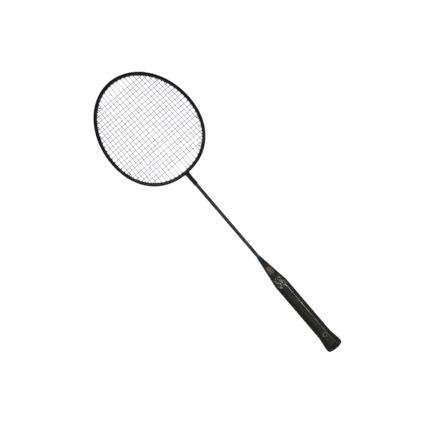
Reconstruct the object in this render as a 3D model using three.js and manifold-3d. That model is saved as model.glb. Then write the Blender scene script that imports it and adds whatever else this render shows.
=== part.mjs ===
// Badminton racket, lying flat. X runs from the butt end to the tip of the head, Y across the head
// and Z out of the string bed. The origin is the middle of the butt's end face. Millimetres.

import * as THREE from "three";
import { mergeVertices } from "three/addons/utils/BufferGeometryUtils.js";
import Module from "manifold-3d";

const wasm = await Module();
wasm.setup();

// ---- Driving dimensions ----

const CLEARANCE = 0.3; // gap kept between neighbouring pieces
const OVERCUT = 1; // how far a cutting tool runs past what it cuts

// Head: the outer edge of the frame
const RACKET_LENGTH = 665; // butt end to tip
const TIP_REACH = 122; // widest place to tip
const THROAT_REACH = 107; // widest place to throat
const HEAD_WIDTH = 196.4;
const THROAT_SQUARENESS = 2.18; // power of the throat's oval, where 2 is an ellipse

// Frame tube
const FRAME_WIDTH = 6.4; // in the plane of the strings
const FRAME_DEPTH = 11; // out of that plane
const FRAME_WALL = 0.7;
const FRAME_EDGE = 1.4; // size of the bevel on its four long edges
const GROOVE_WIDTH = 4.4; // string groove round the outside
const FRAME_STEPS = 64;
const END_STEP = 0.5; // from a swept piece's end face to its next section

// Strings
const STRING_DIAMETER = 0.8;
const STRING_SIDES = 6;
const MAINS_PER_SIDE = 11;
const MAIN_PITCH = 8.7; // spacing of the middle mains at the reference station
const MAIN_SQUEEZE = 0.0857; // how the spacing closes up towards the edges
const MAIN_FAN = 0.00051; // growth of the spacing for each millimetre towards the throat
const FAN_STATION = 114.5; // tip to the station where the spacing is as stated
const CROSS_COUNT = 21;
const CROSS_PITCH = 8.64;
const TOP_CROSS_INSET = 28.4; // tip to the first cross
const KNOT_RADIUS = 1.1;
const TIE_STUB = 2.6; // string between a tie-off grommet and its knot
const TIE_SPACING = 4.6; // a tie-off hole stands this far from the last string's hole
const STRING_STEP = 6; // longest straight piece of string in the groove

// Grommet strips
const GROMMET_WALL = 0.5;
const GROMMET_PROUD = 1.5; // barrels stand this far inside the frame
const STRIP_THICKNESS = 0.5;
const STRIPS_PER_SIDE = 7;
const HOLE_WEB = 1; // least metal between two holes
const PLACE_ERROR = 1e-6; // how closely a hole's place is found
const SPACING_PASSES = 400; // of moving crowded holes apart
const BARREL_SIDES = 6;

// T-joint
const JOINT_HALF_SPAN = 12; // along the frame, each side of the middle
const SPIGOT_REACH = 9; // into each end of the frame
const SPIGOT_PLAY = 0.2; // beyond the clearance, for the curve of the tube
const JOINT_STEP = 4; // longest straight piece along the frame's curve
const SLEEVE_LENGTH = 27;
const SLEEVE_WALL = 0.55;
const NECK_FLARE = 3.2; // radius of the sweep from the sleeve out to the frame
const NECK_DEPTH = 8.6;
const NECK_STEPS = 5;

// Shaft
const SHAFT_DIAMETER = 6.8;
const SHAFT_WALL = 0.5;
const SHAFT_IN_HANDLE = 95;
const ROUND_SIDES = 24;

// Cone between shaft and handle
const CONE_LENGTH = 65;
const CONE_WALL = 1.8;
const CONE_TIP_WALL = 0.5;
const CONE_STEPS = 5;
const CONE_SIDES = 16;
const CONE_FULLNESS = 1.07; // above 1 the flanks bow inwards

// Handle, all widths across flats
const HANDLE_LENGTH = 161; // butt end to the cone
const GRIP_ACROSS = 26.4;
const GRIP_THICKNESS = 1.6;
const CUSHION_THICKNESS = 0.8;
const COLLAR_LENGTH = 8;
const COLLAR_THICKNESS = 0.8;
const NOSE_LENGTH = 12; // of the core, inside the cone

// Butt
const FLARE_LENGTH = 34.5; // butt end to where the flare starts
const FLARE_ACROSS = 33;
const FLARE_BEND = 1.4;
const FLARE_STEPS = 5;
const CAP_LENGTH = 10.5;
const CAP_END_ACROSS = 24;
const CAP_ROUND = 6; // length of the cap's rounded end
const CAP_WALL = 3;
const CAP_STEPS = 4;

// ---- Sizes that follow ----

const tipLine = TIP_REACH - FRAME_WIDTH / 2;
const throatLine = THROAT_REACH - FRAME_WIDTH / 2;
const sideLine = (HEAD_WIDTH - FRAME_WIDTH) / 2;
const widestStation = RACKET_LENGTH - TIP_REACH;
const throatStation = widestStation - THROAT_REACH; // the throat's outer edge

const grooveDepth = STRIP_THICKNESS + STRING_DIAMETER + 2 * CLEARANCE;
const grooveFloor = FRAME_WIDTH / 2 - grooveDepth; // offsets are from the frame's centreline, outwards
const stripFloor = grooveFloor + CLEARANCE;
const stripTop = stripFloor + STRIP_THICKNESS;
const stripWidth = GROOVE_WIDTH - 2 * CLEARANCE;
const stringOffset = stripTop + CLEARANCE + STRING_DIAMETER / 2;
const stringLevel = (STRING_DIAMETER + CLEARANCE) / 2; // mains this far up, crosses this far down
const stringTurn = 0.7 * STRING_DIAMETER; // cut across a string's corners
const barrelEnd = -FRAME_WIDTH / 2 - GROMMET_PROUD;

const flatOf = Math.cos(Math.PI / BARREL_SIDES); // flat to corner ratio of a barrel's section
const boreRadius = (STRING_DIAMETER / 2 + CLEARANCE) / flatOf;
const barrelRadius = boreRadius + GROMMET_WALL;
const holeRadius = barrelRadius + CLEARANCE / flatOf;
const holeSpacing = 2 * holeRadius + HOLE_WEB;

const shaftRadius = SHAFT_DIAMETER / 2;
const shaftBore = shaftRadius + CLEARANCE;
const sleeveRadius = shaftBore + SLEEVE_WALL;
const shaftTop = throatStation - CLEARANCE;
const shaftEnd = HANDLE_LENGTH - SHAFT_IN_HANDLE;

const collarStart = HANDLE_LENGTH - COLLAR_LENGTH;
const coreAcross = GRIP_ACROSS - 2 * (GRIP_THICKNESS + CUSHION_THICKNESS + 2 * CLEARANCE);
const coneBase = HANDLE_LENGTH + CLEARANCE;
const coneTip = HANDLE_LENGTH + CONE_LENGTH;
const coneTipAcross = 2 * (shaftBore + CONE_TIP_WALL);
const coneBaseAcross = GRIP_ACROSS - CLEARANCE;

// ---- Solids ----

// A closed geometry as a solid that can be joined and cut.
function solid(geometry) {
  const bare = geometry.index ? geometry.toNonIndexed() : geometry.clone();
  bare.deleteAttribute("normal");
  bare.deleteAttribute("uv");
  const merged = mergeVertices(bare, 1e-4);
  const vertProperties = merged.attributes.position.array;
  const triVerts = new Uint32Array(merged.index.array);
  return new wasm.Manifold(new wasm.Mesh({ numProp: 3, vertProperties, triVerts }));
}

function geometryOf(body) {
  const data = body.getMesh();
  const geometry = new THREE.BufferGeometry();
  geometry.setAttribute("position", new THREE.BufferAttribute(new Float32Array(data.vertProperties), 3));
  geometry.setIndex(new THREE.BufferAttribute(new Uint32Array(data.triVerts), 1));
  geometry.computeVertexNormals();
  return geometry;
}

function joined(bodies) {
  return bodies.reduce((whole, body) => whole.add(body));
}

function cutFrom(body, tools) {
  return tools.reduce((rest, tool) => rest.subtract(tool), body);
}

// A profile of [station, radius] points turned about the X axis.
function turned(profile, sides, start = 0) {
  const points = profile.map(([station, radius]) => new THREE.Vector2(radius, station));
  return new THREE.LatheGeometry(points, sides, start).rotateZ(-Math.PI / 2);
}

// The same with eight flats, two of them level: the profile gives [station, width across flats].
function octagonal(profile) {
  const toCorner = 0.5 / Math.cos(Math.PI / 8);
  return turned(profile.map(([station, across]) => [station, across * toCorner]), 8, Math.PI / 8);
}

function roundBar(radius, from, to) {
  return solid(turned([[from, 0], [from, radius], [to, radius], [to, 0]], ROUND_SIDES));
}

// ---- The frame's line ----

// The frame's centreline: half an ellipse at the tip and half a squarer oval at the throat. It leaves
// the middle of the throat towards +Y, so its left-hand side is the outside of the head.
class HeadLine extends THREE.Curve {
  getPoint(t, target = new THREE.Vector3()) {
    const angle = 2 * Math.PI * t;
    const along = Math.cos(angle);
    const across = Math.sin(angle);
    const atThroat = along > 0;
    const power = atThroat ? 2 / THROAT_SQUARENESS : 1;
    const reach = atThroat ? throatLine : tipLine;
    const x = widestStation - reach * Math.sign(along) * Math.abs(along) ** power;
    const y = sideLine * Math.sign(across) * Math.abs(across) ** power;
    return target.set(x, y, 0);
  }
}

const headLine = new HeadLine();
headLine.arcLengthDivisions = 1600;
const lineLength = headLine.getLength();

// The point at a distance along the frame from the throat's middle, moved outwards and up.
function onFrame(distance, outwards, height = 0) {
  const share = (((distance / lineLength) % 1) + 1) % 1;
  const point = headLine.getPointAt(share);
  const out = outwardAt(share);
  return point.addScaledVector(out, outwards).setZ(height);
}

function outwardAt(share) {
  const tangent = headLine.getTangentAt(share);
  return new THREE.Vector3(-tangent.y, tangent.x, 0).normalize();
}

// A path that has one section at each of its points, square to the bend there.
class StationPath extends THREE.Curve {
  constructor(points) {
    super();
    this.points = points;
  }
  getPointAt(u, target = new THREE.Vector3()) {
    const place = u * (this.points.length - 1);
    const index = Math.min(Math.floor(place), this.points.length - 2);
    return target.lerpVectors(this.points[index], this.points[index + 1], place - index);
  }
  getTangentAt(u, target = new THREE.Vector3()) {
    const last = this.points.length - 1;
    const index = Math.round(u * last);
    const here = this.points[index];
    const arriving = here.clone().sub(this.points[Math.max(index - 1, 0)]).normalize();
    const leaving = this.points[Math.min(index + 1, last)].clone().sub(here).normalize();
    return target.copy(arriving).add(leaving).normalize();
  }
}

function swept(section, points) {
  const extrudePath = new StationPath(points);
  return new THREE.ExtrudeGeometry(section, { steps: points.length - 1, bevelEnabled: false, extrudePath });
}

// A section swept along the frame between two distances. A short step at each end squares its end faces.
function alongFrame(section, from, to, longestStep) {
  const short = Math.min(END_STEP, (to - from) / 4);
  const length = to - from - 2 * short;
  const steps = Math.max(1, Math.ceil(length / longestStep));
  const points = [onFrame(from, 0)];
  for (let i = 0; i <= steps; i += 1) {
    points.push(onFrame(from + short + (length * i) / steps, 0));
  }
  points.push(onFrame(to, 0));
  return swept(section, points);
}

function sectionShape(corners) {
  return new THREE.Shape(corners.map(([outwards, height]) => new THREE.Vector2(-height, outwards)));
}

// ---- Frame sections ----

function frameCorners() {
  const side = FRAME_WIDTH / 2;
  const top = FRAME_DEPTH / 2;
  const lip = GROOVE_WIDTH / 2;
  return [
    [-side, FRAME_EDGE - top],
    [-side, top - FRAME_EDGE],
    [FRAME_EDGE - side, top],
    [side - FRAME_EDGE, top],
    [side, top - FRAME_EDGE],
    [side, lip],
    [grooveFloor, lip],
    [grooveFloor, -lip],
    [side, -lip],
    [side, FRAME_EDGE - top],
    [side - FRAME_EDGE, -top],
    [FRAME_EDGE - side, -top],
  ];
}

// The hollow inside the tube, or with an inset the spigot that fits in it.
function hollowCorners(inset = 0) {
  const inner = -FRAME_WIDTH / 2 + FRAME_WALL + inset;
  const outer = grooveFloor - FRAME_WALL - inset;
  const top = FRAME_DEPTH / 2 - FRAME_WALL - inset;
  const shoulder = top - Math.min(FRAME_EDGE, outer - inner) / 2;
  return [
    [inner, -shoulder],
    [inner, shoulder],
    [inner + top - shoulder, top],
    [outer, top],
    [outer, -top],
    [inner + top - shoulder, -top],
  ];
}

function rectangleCorners(inner, outer, width) {
  return [[inner, -width / 2], [inner, width / 2], [outer, width / 2], [outer, -width / 2]];
}

// ---- Holes ----

// The distance along the +Y half of the frame at which a test of the barrel's mouth changes sign.
function placeWhere(test, from, to) {
  let low = from;
  let high = to;
  const rising = test(onFrame(high, barrelEnd)) > 0;
  while (high - low > PLACE_ERROR) {
    const middle = (low + high) / 2;
    const above = test(onFrame(middle, barrelEnd)) > 0;
    if (above === rising) {
      high = middle;
    } else {
      low = middle;
    }
  }
  return (low + high) / 2;
}

// How far a main stands off the middle of the head at a station.
function mainOffset(number, station) {
  const count = number - 0.5;
  const offset = MAIN_PITCH * count - MAIN_SQUEEZE * count * count;
  return offset * (1 + MAIN_FAN * (RACKET_LENGTH - FAN_STATION - station));
}

const halfLine = lineLength / 2;
const widestPlace = placeWhere((point) => point.x - widestStation, 0, halfLine);

function mainPlace(number, from, to) {
  return placeWhere((point) => point.y - mainOffset(number, point.x), from, to);
}

function crossPlace(number) {
  const station = RACKET_LENGTH - TOP_CROSS_INSET - CROSS_PITCH * (number - 1);
  return placeWhere((point) => point.x - station, 0, halfLine);
}

// Every hole of the +Y half, from the throat to the tip. The -Y half mirrors it.
function halfHoles() {
  const holes = [];
  const add = (name, distance, height) => holes.push({ name, distance, height });
  for (let number = 1; number <= MAINS_PER_SIDE; number += 1) {
    add("throat" + number, mainPlace(number, 0, widestPlace), stringLevel);
    add("tip" + number, mainPlace(number, widestPlace, halfLine), stringLevel);
  }
  for (let number = 1; number <= CROSS_COUNT; number += 1) {
    add("cross" + number, crossPlace(number), -stringLevel);
  }
  add("mainTie", mainPlace(MAINS_PER_SIDE, 0, widestPlace) + TIE_SPACING, stringLevel);
  add("topTie", crossPlace(1) + TIE_SPACING, -stringLevel);
  add("lowTie", crossPlace(CROSS_COUNT) - TIE_SPACING, -stringLevel);
  return spaced(holes.sort((a, b) => a.distance - b.distance));
}

// Moves neighbours apart until each pair leaves its web of metal, and keeps them off the T-joint's sleeve.
function spaced(holes) {
  const first = sleeveRadius + holeRadius + CLEARANCE;
  const last = halfLine - holeSpacing / 2;
  for (let pass = 0; pass < SPACING_PASSES; pass += 1) {
    for (let i = 1; i < holes.length; i += 1) {
      const gap = holes[i].distance - holes[i - 1].distance;
      const short = Math.max(0, holeSpacing - gap);
      holes[i - 1].distance -= short / 2;
      holes[i].distance += short / 2;
    }
    holes[0].distance = Math.max(holes[0].distance, first);
    holes[holes.length - 1].distance = Math.min(holes[holes.length - 1].distance, last);
  }
  return holes;
}

const leftHoles = halfHoles();
const rightHoles = leftHoles.map((hole) => ({ ...hole, distance: lineLength - hole.distance }));

// A bar along the frame's normal at a hole, between two offsets from the centreline.
function barAt(hole, radius, from, to) {
  const out = outwardAt(hole.distance / lineLength);
  const base = onFrame(hole.distance, 0, hole.height);
  const bar = new THREE.CylinderGeometry(radius, radius, to - from, BARREL_SIDES);
  bar.translate(0, (from + to) / 2, 0);
  bar.rotateZ(Math.atan2(out.y, out.x) - Math.PI / 2);
  bar.translate(base.x, base.y, base.z);
  return solid(bar);
}

// ---- Frame, T-joint and shaft ----

function frameHoleTools() {
  const [inside, outside] = [-FRAME_WIDTH / 2 - OVERCUT, grooveFloor + OVERCUT];
  return [...leftHoles, ...rightHoles].map((hole) => barAt(hole, holeRadius, inside, outside));
}

function makeHeadFrame(tools) {
  const section = sectionShape(frameCorners());
  section.holes.push(sectionShape(hollowCorners().reverse())); // holes run the other way round
  const start = JOINT_HALF_SPAN + CLEARANCE;
  const tube = alongFrame(section, start, lineLength - start, lineLength / FRAME_STEPS);
  return cutFrom(solid(tube), tools);
}

// The sleeve's end flares out like a trumpet, flattened to lie within the frame's depth.
function makeNeck() {
  const inside = throatStation + FRAME_WIDTH / 2;
  const wide = sleeveRadius + NECK_FLARE;
  const profile = [[throatStation - NECK_FLARE, 0]];
  for (let i = 0; i <= NECK_STEPS; i += 1) {
    const angle = ((Math.PI / 2) * i) / NECK_STEPS;
    const station = throatStation - NECK_FLARE * (1 - Math.sin(angle));
    profile.push([station, wide - NECK_FLARE * Math.cos(angle)]);
  }
  const trumpet = solid(turned([...profile, [inside, wide], [inside, 0]], ROUND_SIDES));
  const slab = solid(new THREE.BoxGeometry(4 * wide, 4 * wide, NECK_DEPTH).translate(throatStation, 0, 0));
  return trumpet.intersect(slab);
}

function makeJoint(tools) {
  const span = JOINT_HALF_SPAN + SPIGOT_REACH;
  const spigot = sectionShape(hollowCorners(CLEARANCE + SPIGOT_PLAY));
  const body = alongFrame(sectionShape(frameCorners()), -JOINT_HALF_SPAN, JOINT_HALF_SPAN, JOINT_STEP);
  const spigots = alongFrame(spigot, -span, span, JOINT_STEP);
  const sleeve = roundBar(sleeveRadius, throatStation - SLEEVE_LENGTH, throatStation + FRAME_WIDTH / 2);
  const bore = roundBar(shaftBore, throatStation - SLEEVE_LENGTH - OVERCUT, shaftTop + CLEARANCE);
  const channel = rectangleCorners(grooveFloor, FRAME_WIDTH / 2 + CLEARANCE, GROOVE_WIDTH);
  const channels = [1, -1].map((side) => {
    const ends = [side * sleeveRadius, side * (JOINT_HALF_SPAN + OVERCUT)];
    return solid(alongFrame(sectionShape(channel), Math.min(...ends), Math.max(...ends), JOINT_STEP));
  });
  return cutFrom(joined([solid(body), solid(spigots), sleeve, makeNeck()]), [bore, ...channels, ...tools]);
}

function makeShaft() {
  const inner = shaftRadius - SHAFT_WALL;
  const profile = [[shaftEnd, inner], [shaftEnd, shaftRadius], [shaftTop, shaftRadius], [shaftTop, inner]];
  return turned([...profile, profile[0]], ROUND_SIDES);
}

// ---- Grommet strips ----

// A strip lies in the groove and carries the barrels of a run of neighbouring holes.
function makeStrip(holes, from, to) {
  const section = sectionShape(rectangleCorners(stripFloor, stripTop, stripWidth));
  const band = alongFrame(section, from, to, STRING_STEP);
  const barrels = holes.map((hole) => barAt(hole, barrelRadius, barrelEnd, (stripFloor + stripTop) / 2));
  const bores = holes.map((hole) => barAt(hole, boreRadius, barrelEnd - OVERCUT, stripTop + OVERCUT));
  return cutFrom(joined([solid(band), ...barrels]), bores);
}

// The runs of holes that share a strip, and each strip's ends: halfway to the next strip's first hole,
// beside the sleeve at the throat and in the middle of the tip.
function stripRuns(holes) {
  const firsts = [];
  for (let i = 0; i <= STRIPS_PER_SIDE; i += 1) {
    firsts.push(Math.round((i * holes.length) / STRIPS_PER_SIDE));
  }
  const seams = firsts.slice(1, -1).map((first) => (holes[first - 1].distance + holes[first].distance) / 2);
  const starts = [sleeveRadius + CLEARANCE / 2, ...seams].map((seam) => seam + CLEARANCE / 2);
  const ends = [...seams, halfLine].map((seam) => seam - CLEARANCE / 2);
  return starts.map((start, i) => ({ own: holes.slice(firsts[i], firsts[i + 1]), start, end: ends[i] }));
}

// ---- Strings ----

function stringSection() {
  const points = [];
  for (let i = 0; i < STRING_SIDES; i += 1) {
    const angle = (2 * Math.PI * i) / STRING_SIDES;
    const radius = STRING_DIAMETER / 2;
    points.push(new THREE.Vector2(radius * Math.cos(angle), radius * Math.sin(angle)));
  }
  return new THREE.Shape(points);
}

// The points through one hole, from inside the head to the corner above the strip.
function throughHole(hole) {
  return [
    onFrame(hole.distance, barrelEnd - stringTurn, hole.height),
    onFrame(hole.distance, stringOffset - stringTurn, hole.height),
  ];
}

// The points in the groove between two holes.
function inGroove(from, to) {
  const way = Math.sign(to.distance - from.distance);
  const start = from.distance + way * stringTurn;
  const end = to.distance - way * stringTurn;
  const steps = Math.max(1, Math.ceil(Math.abs(end - start) / STRING_STEP));
  const points = [];
  for (let i = 0; i <= steps; i += 1) {
    points.push(onFrame(start + ((end - start) * i) / steps, stringOffset, from.height));
  }
  return points;
}

// One string through a list of holes: it goes along the groove from the first to the second, across the
// head to the third, along the groove to the fourth, and so on, with a knot inside the head at each end.
function makeString(holes) {
  const points = [];
  for (let i = 0; i < holes.length; i += 2) {
    const [out, back] = [holes[i], holes[i + 1]];
    points.push(...throughHole(out), ...inGroove(out, back), ...throughHole(back).reverse());
  }
  const ends = [holes[0], holes[holes.length - 1]].map((hole) =>
    onFrame(hole.distance, barrelEnd - TIE_STUB, hole.height),
  );
  const cord = solid(swept(stringSection(), [ends[0], ...points, ends[1]]));
  const lift = KNOT_RADIUS - STRING_DIAMETER / 2; // keeps a knot on its string's side of the mid plane
  const balls = ends.map((end) => {
    const ball = new THREE.IcosahedronGeometry(KNOT_RADIUS, 0);
    return solid(ball.translate(end.x, end.y, end.z + Math.sign(end.z) * lift));
  });
  return joined([cord, ...balls]);
}

function holeNamed(holes, name) {
  return holes.find((hole) => hole.name === name);
}

// From the outermost main of one side, back and forth to the middle, over the tip and out again.
function mainRoute() {
  const half = (holes) => {
    const route = [holeNamed(holes, "mainTie")];
    for (let number = MAINS_PER_SIDE; number >= 1; number -= 1) {
      const fromThroat = (MAINS_PER_SIDE - number) % 2 === 0;
      const ends = fromThroat ? ["throat", "tip"] : ["tip", "throat"];
      route.push(...ends.map((end) => holeNamed(holes, end + number)));
    }
    return route;
  };
  return [...half(leftHoles), ...half(rightHoles).reverse()];
}

// From the top cross to the lowest, side to side.
function crossRoute() {
  const route = [holeNamed(leftHoles, "topTie")];
  for (let number = 1; number <= CROSS_COUNT; number += 1) {
    const ends = [leftHoles, rightHoles].map((holes) => holeNamed(holes, "cross" + number));
    route.push(...(number % 2 === 1 ? ends : ends.reverse()));
  }
  const lastSide = CROSS_COUNT % 2 === 1 ? rightHoles : leftHoles;
  return [...route, holeNamed(lastSide, "lowTie")];
}

// ---- Cone and handle ----

// Distance from the axis to an octagon's edge in one direction.
function octagonReach(angle, across) {
  const eighth = Math.PI / 4;
  const offFlat = angle - eighth * Math.round(angle / eighth);
  return across / 2 / Math.cos(offFlat);
}

function coneAcross(station) {
  const share = (coneTip - station) / (coneTip - coneBase);
  return coneTipAcross + (coneBaseAcross - coneTipAcross) * share ** CONE_FULLNESS;
}

// Round where the shaft leaves it and eight-sided where it meets the handle.
function makeCone() {
  const outer = [];
  for (let i = 0; i <= CONE_STEPS; i += 1) {
    const station = coneBase + ((coneTip - coneBase) * i) / CONE_STEPS;
    outer.push([station, coneAcross(station) / 2]);
  }
  const shell = turned([[coneBase, 0], ...outer, [coneTip, 0]], CONE_SIDES);
  const position = shell.attributes.position;
  for (let i = 0; i < position.count; i += 1) {
    const [x, y, z] = [position.getX(i), position.getY(i), position.getZ(i)];
    const radius = Math.hypot(y, z);
    if (radius === 0) continue;
    const share = (coneTip - x) / (coneTip - coneBase);
    const faceted = octagonReach(Math.atan2(z, y), 2 * radius);
    const stretch = 1 + (faceted / radius - 1) * share;
    position.setXYZ(i, x, y * stretch, z * stretch);
  }
  const cavity = outer
    .map(([station, radius]) => [station, radius - CONE_WALL])
    .filter(([, radius]) => radius > shaftBore);
  const mouth = coneBase - OVERCUT;
  const hollow = [[mouth, 0], [mouth, cavity[0][1]], ...cavity, [cavity.at(-1)[0], 0]];
  const bore = roundBar(shaftBore, coneBase, coneTip + OVERCUT);
  return cutFrom(solid(shell), [solid(turned(hollow, ROUND_SIDES)), bore]);
}

function gripAcross(station) {
  const share = Math.max(0, (FLARE_LENGTH - station) / (FLARE_LENGTH - CAP_LENGTH));
  return GRIP_ACROSS + (FLARE_ACROSS - GRIP_ACROSS) * share ** FLARE_BEND;
}

// [station, width] points down the flare, each narrowed by the same amount.
function flareProfile(from, narrowing) {
  const points = [];
  for (let i = 0; i <= FLARE_STEPS; i += 1) {
    const station = from + ((FLARE_LENGTH - from) * i) / FLARE_STEPS;
    points.push([station, gripAcross(station) - narrowing]);
  }
  return points;
}

function makeCore() {
  const end = CAP_WALL + CLEARANCE;
  const capFit = capAcross(CAP_WALL) - 2 * (CAP_WALL + CLEARANCE);
  const noseRadius = coneAcross(coneBase + NOSE_LENGTH) / 2 - CONE_WALL - CLEARANCE;
  const flare = flareProfile(CAP_LENGTH + CLEARANCE, 2 * (GRIP_THICKNESS + CLEARANCE));
  const body = octagonal([
    [end, 0],
    [end, capFit],
    [CAP_LENGTH + CLEARANCE, capFit],
    ...flare,
    [FLARE_LENGTH, coreAcross],
    [HANDLE_LENGTH, coreAcross],
    [HANDLE_LENGTH, 0],
  ]);
  const nose = roundBar(noseRadius, HANDLE_LENGTH - OVERCUT, HANDLE_LENGTH + NOSE_LENGTH);
  const bore = roundBar(shaftBore, shaftEnd - CLEARANCE, HANDLE_LENGTH + NOSE_LENGTH + OVERCUT);
  return cutFrom(joined([solid(body), nose]), [bore]);
}

// An eight-sided sleeve between two widths.
function octagonSleeve(inner, outer, start, end) {
  return octagonal([[start, inner], [start, outer], [end, outer], [end, inner], [start, inner]]);
}

function makeCushion() {
  const outer = GRIP_ACROSS - 2 * (GRIP_THICKNESS + CLEARANCE);
  return octagonSleeve(coreAcross + 2 * CLEARANCE, outer, FLARE_LENGTH + CLEARANCE, HANDLE_LENGTH);
}

function makeGrip() {
  const start = CAP_LENGTH + CLEARANCE;
  const seat = GRIP_ACROSS - 2 * (COLLAR_THICKNESS + CLEARANCE);
  const inside = flareProfile(start, 2 * GRIP_THICKNESS);
  const outside = flareProfile(start, 0);
  return octagonal([
    ...outside,
    [collarStart - CLEARANCE, GRIP_ACROSS],
    [collarStart - CLEARANCE, seat],
    [HANDLE_LENGTH, seat],
    [HANDLE_LENGTH, GRIP_ACROSS - 2 * GRIP_THICKNESS],
    ...inside.reverse(),
    outside[0],
  ]);
}

function makeCollar() {
  return octagonSleeve(GRIP_ACROSS - 2 * COLLAR_THICKNESS, GRIP_ACROSS, collarStart, HANDLE_LENGTH);
}

// The cap's width at a station: a quarter round from the flat end face, then straight.
function capAcross(station) {
  const share = Math.min(1, station / CAP_ROUND);
  const rise = Math.sqrt(1 - (1 - share) ** 2);
  return CAP_END_ACROSS + (FLARE_ACROSS - CAP_END_ACROSS) * rise;
}

function makeCap() {
  const outer = [];
  for (let i = 0; i <= CAP_STEPS; i += 1) {
    const station = CAP_ROUND * (1 - Math.cos(((Math.PI / 2) * i) / CAP_STEPS));
    outer.push([station, capAcross(station)]);
  }
  const inner = capAcross(CAP_WALL) - 2 * CAP_WALL;
  return octagonal([
    [0, 0],
    ...outer,
    [CAP_LENGTH, FLARE_ACROSS],
    [CAP_LENGTH, inner],
    [CAP_WALL, inner],
    [CAP_WALL, 0],
  ]);
}

// ---- Materials and the racket ----

function finish(color, roughness, metalness) {
  return new THREE.MeshStandardMaterial({ color, roughness, metalness });
}

const glossBlack = finish(0x15151b, 0.25, 0.3);
const satinShaft = finish(0x2a2a28, 0.3, 0.4);
const conePlastic = finish(0x1b1a18, 0.4, 0);
const gripLeather = finish(0x24241f, 0.65, 0);
const collarRubber = finish(0x2f302c, 0.7, 0);
const capRubber = finish(0x1d1d1a, 0.7, 0);
const beech = finish(0xc9a272, 0.7, 0);
const foam = finish(0x5c5c58, 0.95, 0);
const nylon = finish(0x101014, 0.5, 0);
const gutWhite = finish(0xe6e6ea, 0.4, 0);

const racket = new THREE.Group();

function place(name, made, material) {
  const geometry = made.isBufferGeometry ? made : geometryOf(made);
  const mesh = new THREE.Mesh(geometry, material);
  mesh.name = name;
  racket.add(mesh);
}

function placeStrips() {
  stripRuns(leftHoles).forEach(({ own, start, end }, i) => {
    place("grommet_strip_left_" + (i + 1), makeStrip(own, start, end), nylon);
    const mirrored = own.map((hole) => ({ ...hole, distance: lineLength - hole.distance }));
    place("grommet_strip_right_" + (i + 1), makeStrip(mirrored, lineLength - end, lineLength - start), nylon);
  });
}

const holeTools = frameHoleTools();
place("head_frame", makeHeadFrame(holeTools), glossBlack);
place("t_joint", makeJoint(holeTools), glossBlack);
place("shaft", makeShaft(), satinShaft);
place("cone", makeCone(), conePlastic);
place("handle_core", makeCore(), beech);
place("grip_cushion", makeCushion(), foam);
place("grip_sleeve", makeGrip(), gripLeather);
place("grip_collar", makeCollar(), collarRubber);
place("butt_cap", makeCap(), capRubber);
place("main_string", makeString(mainRoute()), gutWhite);
place("cross_string", makeString(crossRoute()), gutWhite);
placeStrips();

export default racket;
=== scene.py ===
import bisect
import math

import bpy
from bpy.props import FloatProperty, FloatVectorProperty, IntProperty, PointerProperty
from mathutils import Matrix, Vector


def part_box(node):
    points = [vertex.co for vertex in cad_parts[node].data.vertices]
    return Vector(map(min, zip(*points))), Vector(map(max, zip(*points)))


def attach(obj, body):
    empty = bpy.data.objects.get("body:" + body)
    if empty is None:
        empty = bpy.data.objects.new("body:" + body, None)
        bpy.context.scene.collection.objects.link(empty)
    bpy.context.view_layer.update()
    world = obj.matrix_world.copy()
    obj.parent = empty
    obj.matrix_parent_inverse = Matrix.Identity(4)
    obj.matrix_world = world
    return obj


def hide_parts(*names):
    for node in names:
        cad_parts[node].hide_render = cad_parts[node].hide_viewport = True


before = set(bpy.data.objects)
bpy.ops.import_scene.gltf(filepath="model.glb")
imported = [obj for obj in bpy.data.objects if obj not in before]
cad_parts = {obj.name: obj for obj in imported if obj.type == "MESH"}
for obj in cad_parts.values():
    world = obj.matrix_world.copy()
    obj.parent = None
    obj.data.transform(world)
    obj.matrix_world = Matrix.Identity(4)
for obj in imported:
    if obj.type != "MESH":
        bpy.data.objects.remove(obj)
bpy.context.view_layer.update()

bl_info = {
    "name": "Badminton Racket",
    "version": (1, 0, 0),
    "blender": (4, 5, 0),
    "location": "View3D > Sidebar > Racket",
    "description": "Builds a strung badminton racket and its studio around a fixed frame",
    "category": "Object",
}

# The racket lies flat: X from the butt end to the tip of the head, Y across the head, Z up. Metres.

MM = 0.001
UP = Vector((0, 0, 1))

FRAME_LOW, FRAME_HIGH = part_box("head_frame")
JOINT_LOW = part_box("t_joint")[0]
SHAFT_LOW, SHAFT_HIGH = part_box("shaft")
CONE_LOW, CONE_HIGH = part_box("cone")
GRIP_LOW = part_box("grip_sleeve")[0]
COLLAR_LOW, COLLAR_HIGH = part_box("grip_collar")
CUSHION_LOW, CUSHION_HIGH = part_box("grip_cushion")
CAP_LOW, CAP_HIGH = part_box("butt_cap")


def linear(colour):
    """An sRGB hex colour as linear red, green and blue."""
    channels = (int(colour[i : i + 2], 16) / 255 for i in (1, 3, 5))
    return tuple(c / 12.92 if c <= 0.04045 else ((c + 0.055) / 1.055) ** 2.4 for c in channels)


# ---- Settings ----


def amount(name, description, default, **more):
    return FloatProperty(name=name, description=description, default=default, **more)


def whole(name, description, default):
    return IntProperty(name=name, description=description, default=default, min=1)


def length(name, description, default):
    return amount(name, description, default, unit="LENGTH", precision=5)


def colour(name, description, default):
    limits = {"subtype": "COLOR", "min": 0, "max": 1}
    return FloatVectorProperty(name=name, description=description, default=linear(default), **limits)


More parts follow.
